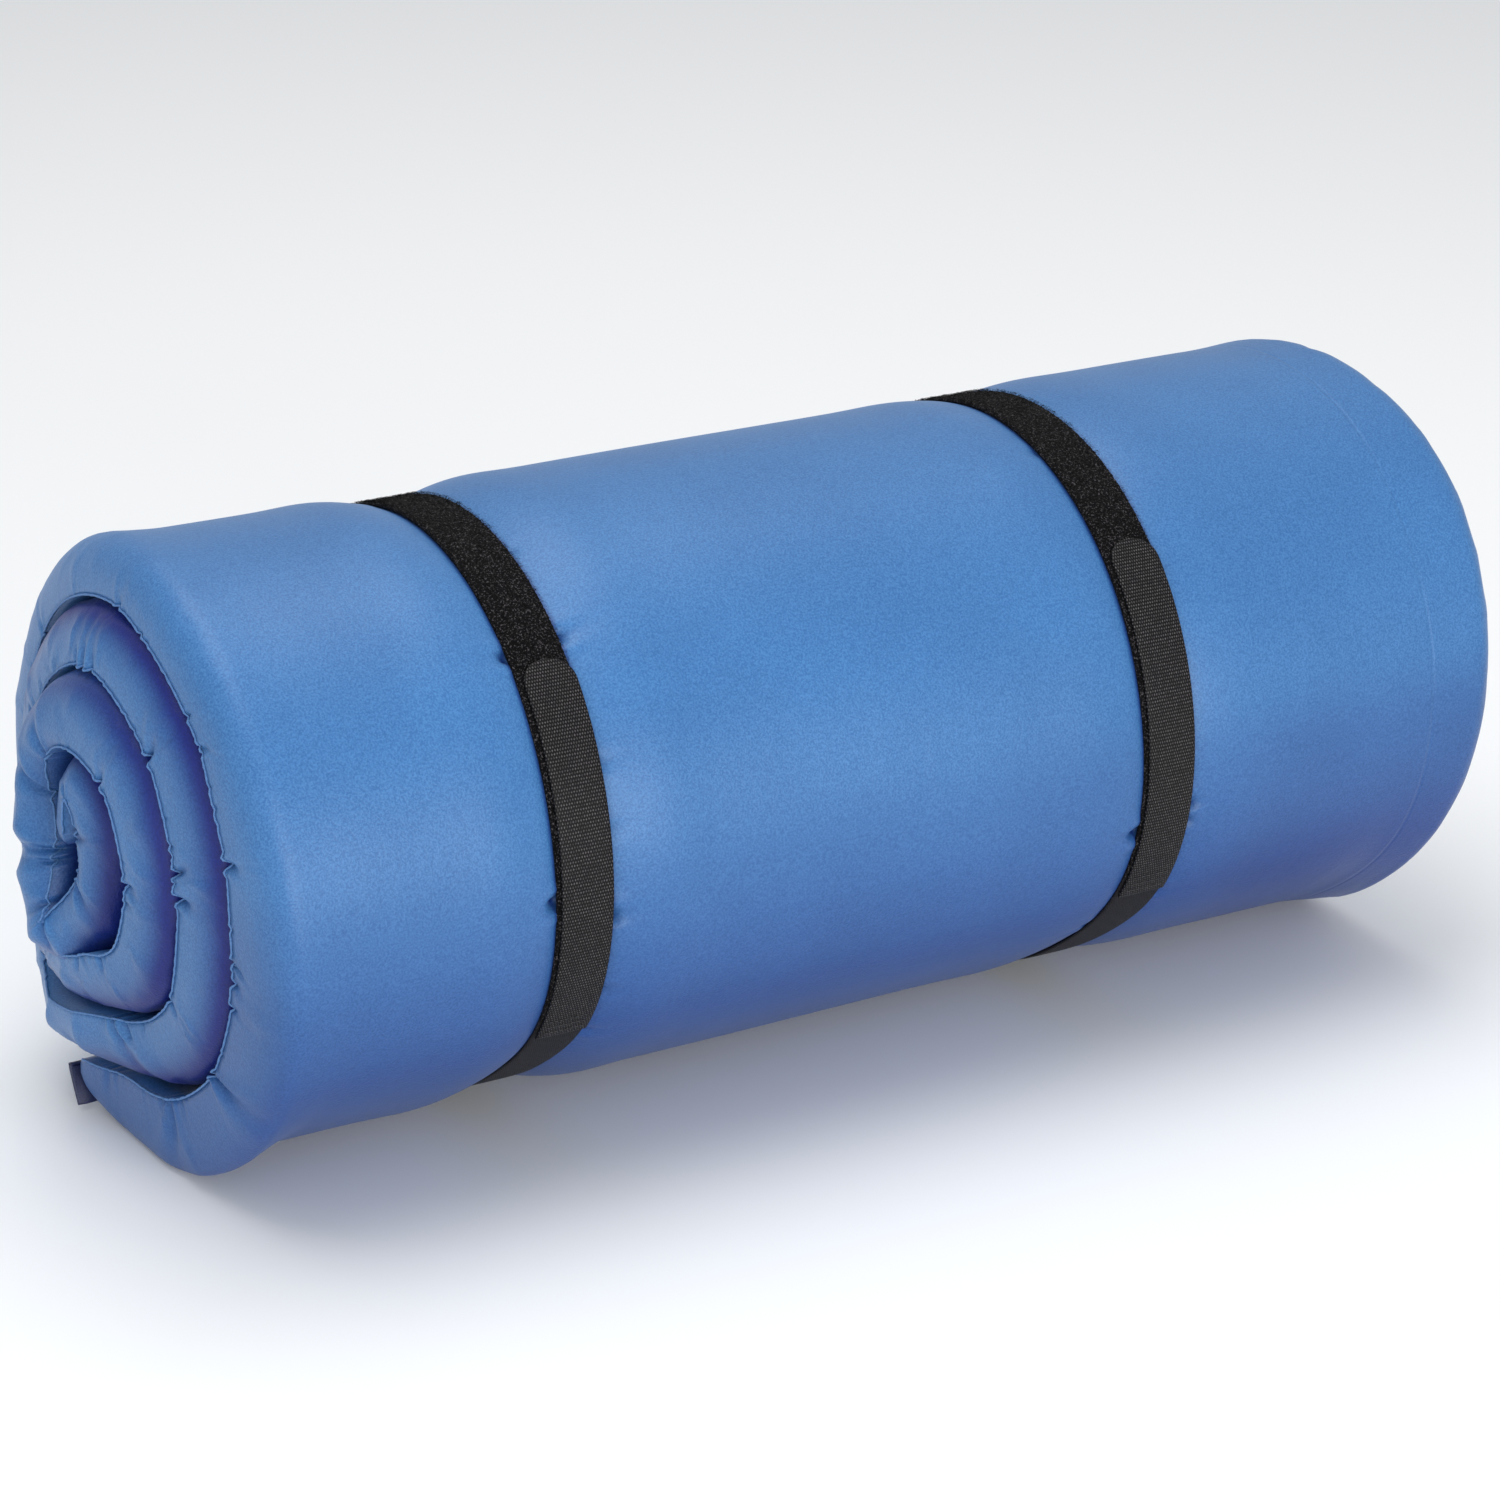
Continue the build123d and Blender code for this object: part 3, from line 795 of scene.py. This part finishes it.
def cover_material():
    """Brushed polyester: fine grain, faint clouds, streaks and one crease, with painted shade in
    crevices, under the roll and at the straps.
    """
    m = Shader("brushed_polyester")
    coord = m.position()
    grain = m.noise(coord, 1100, 2.0, 0.6)
    fuzz = m.noise(coord, 420, 3.0, 0.6)
    cloud = m.noise(coord, 11, 4.0, 0.55)
    grain_tone = m.mix(m.ramp(grain, 0.3, 0.7), DEEP_BLUE, LIGHT_BLUE)
    cloud_tone = m.mix(m.ramp(cloud, 0.35, 0.65), (0.90, 0.91, 0.93), (1.0, 1.0, 1.0))
    tone = m.mix(1.0, grain_tone, cloud_tone, "MULTIPLY")
    # Painted shade from the mesh attribute darkens the fabric's colour towards that tint
    painted_shade = m.nodes.new("ShaderNodeAttribute")
    painted_shade.attribute_name = "painted_shade"
    shade = m.mix(painted_shade.outputs["Fac"], tone, PAINTED_SHADE_TINT, "MULTIPLY")

    stretched = m.nodes.new("ShaderNodeVectorMath")
    stretched.operation = "MULTIPLY"
    m.links.new(coord, stretched.inputs[0])
    stretched.inputs[1].default_value = (120, 13, 13)
    streaks = m.noise(stretched.outputs["Vector"], 1.0, 2.0, 0.5)
    patches = m.ramp(m.noise(coord, 9, 1.0), 0.45, 0.62)
    streaks = m.times(m.times(streaks, patches), 1.6)
    place = m.nodes.new("ShaderNodeSeparateXYZ")
    m.links.new(coord, place.inputs[0])
    drift = m.times(m.noise(coord, 6, 1.0), 0.008)
    across = m.math("SUBTRACT", m.add(place.outputs["X"], drift), CREASE_X)
    crease = m.ramp(m.math("ABSOLUTE", across), 0.0, 0.0016)
    height = m.add(grain, m.times(fuzz, 0.8))
    m.bump(m.add(height, m.add(streaks, m.times(crease, 1.5))), 0.35, 0.0005)
    return m.finish(shade, Roughness=0.40, Specular_IOR_Level=0.38, Sheen_Weight=0.06,
                    Sheen_Roughness=0.4, Sheen_Tint=(0.62, 0.72, 1.0))


def strap_material(name, dark, light, dot, lengthwise=0.0):
    """Woven tape: offset rows of small stitches, dot mm apart, over ribs that run along it."""
    m = Shader(name)
    uv = m.nodes.new("ShaderNodeUVMap")
    uv.uv_map = "weave"
    split = m.nodes.new("ShaderNodeSeparateXYZ")
    m.links.new(uv.outputs["UV"], split.inputs[0])
    u = m.math("DIVIDE", split.outputs["X"], dot * MM)
    v = m.math("DIVIDE", split.outputs["Y"], dot * 1.25 * MM)
    cu = m.from_middle(m.add(u, m.times(m.math("FLOOR", v), 0.5)))
    far = m.add(cu, m.times(m.from_middle(v), 0.8 - 0.6 * lengthwise))
    lit = m.ramp(far, 0.48, 0.12)
    speck = m.ramp(m.noise(m.position(), 1300, 1.0), 0.42, 0.62)
    amount = m.times(lit, m.add(m.times(speck, 0.65), 0.35))
    m.bump(lit, 0.6, 0.0003)
    return m.finish(m.mix(amount, dark, light), Roughness=0.5, Specular_IOR_Level=0.14)


def pile_material():
    """The fuzzy face of the loop tape."""
    m = Shader("loop_pile")
    coord = m.position()
    fine = m.noise(coord, 1200, 2.0, 0.7)
    coarse = m.noise(coord, 500, 3.0, 0.6)
    speck = m.ramp(fine, 0.54, 0.68)
    m.bump(m.add(fine, coarse), 0.9, 0.0009)
    return m.finish(m.mix(speck, (0.002, 0.002, 0.0025), (0.085, 0.078, 0.082)), Roughness=0.75,
                    Specular_IOR_Level=0.06, Sheen_Weight=0.02)


def fabric_material(name, dark, light, scale, roughness):
    """Any plain fine-grained surface."""
    m = Shader(name)
    grain = m.noise(m.position(), scale, 2.0)
    m.bump(grain, 0.4, 0.0003)
    return m.finish(m.mix(m.ramp(grain, 0.35, 0.65), dark, light), Roughness=roughness)


COVER = cover_material()
HOOK = strap_material("hook_tape_weave", (0.003, 0.003, 0.0035), (0.115, 0.106, 0.108), 1.2)
WEBBING = strap_material("webbing_weave", (0.005, 0.005, 0.006), (0.026, 0.023, 0.025), 0.9,
                         lengthwise=1.0)
LOOP = pile_material()
THREAD = fabric_material("strap_thread", (0.012, 0.012, 0.013), (0.05, 0.05, 0.052), 2500, 0.45)
SEAM = fabric_material("seam_thread", (0.05, 0.15, 0.36), (0.10, 0.22, 0.46), 2200, 0.6)
LABEL = fabric_material("label_satin", (0.010, 0.014, 0.055), (0.022, 0.03, 0.10), 1800, 0.4)
FOAM = fabric_material("open_cell_foam", (0.60, 0.56, 0.44), (0.78, 0.75, 0.63), 700, 0.95)


# ------------------------------------------------------------------ pieces
def dress(obj, material, slot, *nodes):
    """Finishes a piece that rides on the roll."""
    obj.data.materials.append(material)
    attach(obj, "roll")
    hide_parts(*nodes)


cover, seam_left, seam_right = build_cover("pad_cover")
dress(cover, COVER, "cover_fabric", "cover_outer_panel", "cover_inner_panel",
      "cover_left_side_wall", "cover_right_side_wall", "cover_outer_end_wall",
      "cover_inner_end_wall")
foam, _, _ = build_cover("foam_slab", inset=5.0)
dress(foam, FOAM, "foam", "foam_core")


def seam_welt(side, seam):
    """The line of gathered stitching along the inner edge of one spiral end."""
    away = -1 if side == "left" else 1
    path = seam[3:-3] + np.array([away * 0.25 * MM, 0, 0])
    tangent = np.gradient(path, axis=0)
    tangent /= np.linalg.norm(tangent, axis=1)[:, None]
    out = np.cross(tangent, np.array([1.0, 0, 0]))
    out /= np.maximum(np.linalg.norm(out, axis=1), 1e-9)[:, None]
    third = np.cross(tangent, out)
    width = (0.52 + 0.12 * np.sin(np.arange(len(path)) * 2.1))[:, None] * MM
    round_it = np.linspace(0, 2 * math.pi, 9)[:-1]
    ring = [path + width * (out * math.cos(a) + third * math.sin(a)) for a in round_it]
    points = np.stack(ring, 1).reshape(-1, 3)
    rows = len(path)
    faces = [(i * 8 + j, i * 8 + (j + 1) % 8, (i + 1) * 8 + (j + 1) % 8, (i + 1) * 8 + j)
             for i in range(rows - 1) for j in range(8)]
    faces += [tuple(range(8))[::-1], tuple((rows - 1) * 8 + j for j in range(8))]
    welt = finish_mesh(f"{side}_seam_welt", points, faces)
    dress(welt, SEAM, "seam_binding", f"{side}_side_seam")


seam_welt("left", seam_left)
seam_welt("right", seam_right)

LABEL_WIDTH, LABEL_DROP, LABEL_THICK = 12.0, 17.3, 0.42
LABEL_CORNER = (-307.5, 56.2, 20.0)  # its upper left corner, at the tip of the pad's outer end


def care_label():
    """Folded satin label sewn into the corner of the pad's outer end, its fold hanging down and
    a little forward under the roll."""
    # How far back and down from its corner the label runs, from hem to fold and up to its hem
    path = [(-1.6, 0.5), (0.3, 0.4), (0.9, 2.2), (-1.9, 9.0), (-4.7, 15.6), (-4.9, LABEL_DROP),
            (-3.9, 15.6), (-1.0, 9.0), (1.8, 1.8), (0.8, -0.6), (-1.4, -0.4)]
    line = cubic(np.linspace(0, 1, len(path)), np.array(path), np.linspace(0, 1, 81))
    tangent = np.gradient(line, axis=0)
    tangent /= np.linalg.norm(tangent, axis=1)[:, None]
    normal = np.stack([-tangent[:, 1], tangent[:, 0]], 1)
    lanes = np.linspace(0, 1, 17)
    x0, y0, z0 = LABEL_CORNER
    sides = []
    for offset in (LABEL_THICK / 2, -LABEL_THICK / 2):
        grid = []
        for back, down in line + normal * offset:
            wave = 0.35 * np.sin(lanes * 5.2 + down * 0.16) * down / LABEL_DROP
            x = x0 + 0.05 * down + lanes * LABEL_WIDTH
            grid.append(np.stack([x, y0 + back + wave, z0 - down + 0 * lanes], 1))
        sides.append(np.array(grid))
    rows, cols = sides[0].shape[:2]
    points = np.concatenate([g.reshape(-1, 3) for g in sides]) * MM
    faces, n = [], rows * cols
    for i in range(rows - 1):
        for j in range(cols - 1):
            a = i * cols + j
            b, c, d = a + 1, a + cols + 1, a + cols
            faces += [(a, b, c, d), (n + d, n + c, n + b, n + a)]
    for j in range(cols - 1):
        faces.append((j + 1, j, n + j, n + j + 1))
        e = (rows - 1) * cols + j
        faces.append((e, e + 1, n + e + 1, n + e))
    for i in range(rows - 1):
        a, b = i * cols, (i + 1) * cols
        faces.append((a, b, n + b, n + a))
        a, b = a + cols - 1, b + cols - 1
        faces.append((b, a, n + a, n + b))
    return finish_mesh("care_label_sheet", points, faces)


label = care_label()
dress(label, LABEL, "label_fabric", "care_label")

# Angles where a strap is sewn to the pad, where its hook tab is sewn on and where the tab ends
ANCHOR = 240
HOOK_ROOT = {"left": 336, "right": 340}
HOOK_TIP = {"left": 404, "right": 405}
HOOK_SHIFT = {"left": 1.6, "right": 1.4}  # how far a tab's free end lies to the right of its strap
HOOK_WIDTH = 23.5
PILE_COUNT = 8000

for side in ("left", "right"):
    root, tip, shift = HOOK_ROOT[side], HOOK_TIP[side], HOOK_SHIFT[side]
    webbing = finish_mesh(f"{side}_webbing", *strip_mesh(side, (ANCHOR + 0.5, root - 1), 0.15, 1.5))
    dress(webbing, WEBBING, "webbing", f"{side}_strap_webbing")

    tape = strip_mesh(side, (root - 2, ANCHOR + 359.5), 0.15, 1.9, step=0.9, across=30, rough=0.22)
    hairs = pile(side, (tip - 2, ANCHOR + 358), 2.05, PILE_COUNT)
    loop = finish_mesh(f"{side}_loop_tape", *join_parts([tape, hairs]))
    dress(loop, LOOP, "loop_pile", f"{side}_loop_strip")

    hook = finish_mesh(f"{side}_hook_tape", *strip_mesh(
        side, (root - 7, tip), 2.2, 1.5, width=HOOK_WIDTH, step=1.2, across=16, tip=11.0,
        drift=lambda t, k=shift: k * np.clip(t * 1.2, 0, 1)))
    hook.data.materials.append(HOOK)
    for angle in (root - 1.5, root + 4.5):
        y, z = ring_point(angle, float(girth(angle)[0]))
    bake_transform(hook)
    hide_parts(f"{side}_hook_base", f"{side}_hook_tab")

    points, faces, _ = stitches(side, [root - s for s in (1.5, 3.3, 5.1)], 3.75)
    thread = finish_mesh(f"{side}_hook_stitches", points, faces)
    dress(thread, THREAD, "thread", f"{side}_hook_stitching")
    points, faces, _ = join_parts([stitches(side, [ANCHOR - 2.5], 2.1),
                                   stitches(side, [ANCHOR + 3.5], 1.75)])
    thread = finish_mesh(f"{side}_anchor_stitches", points, faces)
    dress(thread, THREAD, "thread", f"{side}_anchor_stitching")

# ------------------------------------------------------------------ stage
FLOOR_REACH, FLOOR_Z = 60, -0.0005
floor_mesh = bpy.data.meshes.new("floor")
floor_mesh.from_pydata([(x * FLOOR_REACH, y * FLOOR_REACH, FLOOR_Z)
                        for x, y in ((-1, -1), (1, -1), (1, 1), (-1, 1))], [], [(0, 1, 2, 3)])
floor_mesh.materials.append(Shader("floor_paper").finish((0.93, 0.93, 0.93), Roughness=0.9))
floor = bpy.data.objects.new("floor", floor_mesh)
bpy.context.scene.collection.objects.link(floor)

world = bpy.data.worlds.new("studio")
bpy.context.scene.world = world
world.use_nodes = True
world.node_tree.nodes["Background"].inputs["Color"].default_value = (0.94, 0.97, 1, 1)
world.node_tree.nodes["Background"].inputs["Strength"].default_value = 0.55


def area_light(name, place, target, size, power, colour=(1, 1, 1)):
    data = bpy.data.lights.new(name, "AREA")
    data.shape = "RECTANGLE"
    data.size, data.size_y = size
    data.energy = power
    data.color = colour
    obj = bpy.data.objects.new(name, data)
    bpy.context.scene.collection.objects.link(obj)
    obj.location = place
    obj.rotation_euler = (Vector(target) - Vector(place)).to_track_quat("-Z", "Y").to_euler()


area_light("key", (-0.3, -2.4, 0.60), (0, 0, 0.16), (2.4, 0.7), 36)
area_light("left", (-2.6, -0.9, 0.7), (-0.3, 0, 0.14), (1.2, 1.0), 4.5, (0.72, 0.87, 1.0))
area_light("top", (-0.2, 0.2, 2.4), (0, 0, 0.1), (2.6, 1.6), 36)

CAMERA_PLACE = Vector((-0.9547, -1.6547, 0.8914))
CAMERA_TARGET = Vector((0.0009, 0.0011, 0.12666))
CAMERA_TILT = math.radians(0.322)  # about the line of sight
camera_data = bpy.data.cameras.new("camera")
camera = bpy.data.objects.new("camera", camera_data)
bpy.context.scene.collection.objects.link(camera)
camera.location = CAMERA_PLACE
look = (CAMERA_TARGET - CAMERA_PLACE).normalized()
right = look.cross(Vector((0, 0, 1))).normalized()
up = right.cross(look)
tilted_right = right * math.cos(CAMERA_TILT) + up * math.sin(CAMERA_TILT)
tilted_up = up * math.cos(CAMERA_TILT) - right * math.sin(CAMERA_TILT)
camera.rotation_euler = Matrix((tilted_right, tilted_up, -look)).transposed().to_euler()
camera_data.sensor_width = 36
camera_data.lens = 110.44
bpy.context.scene.camera = camera
bpy.context.scene.view_settings.view_transform = "Standard"
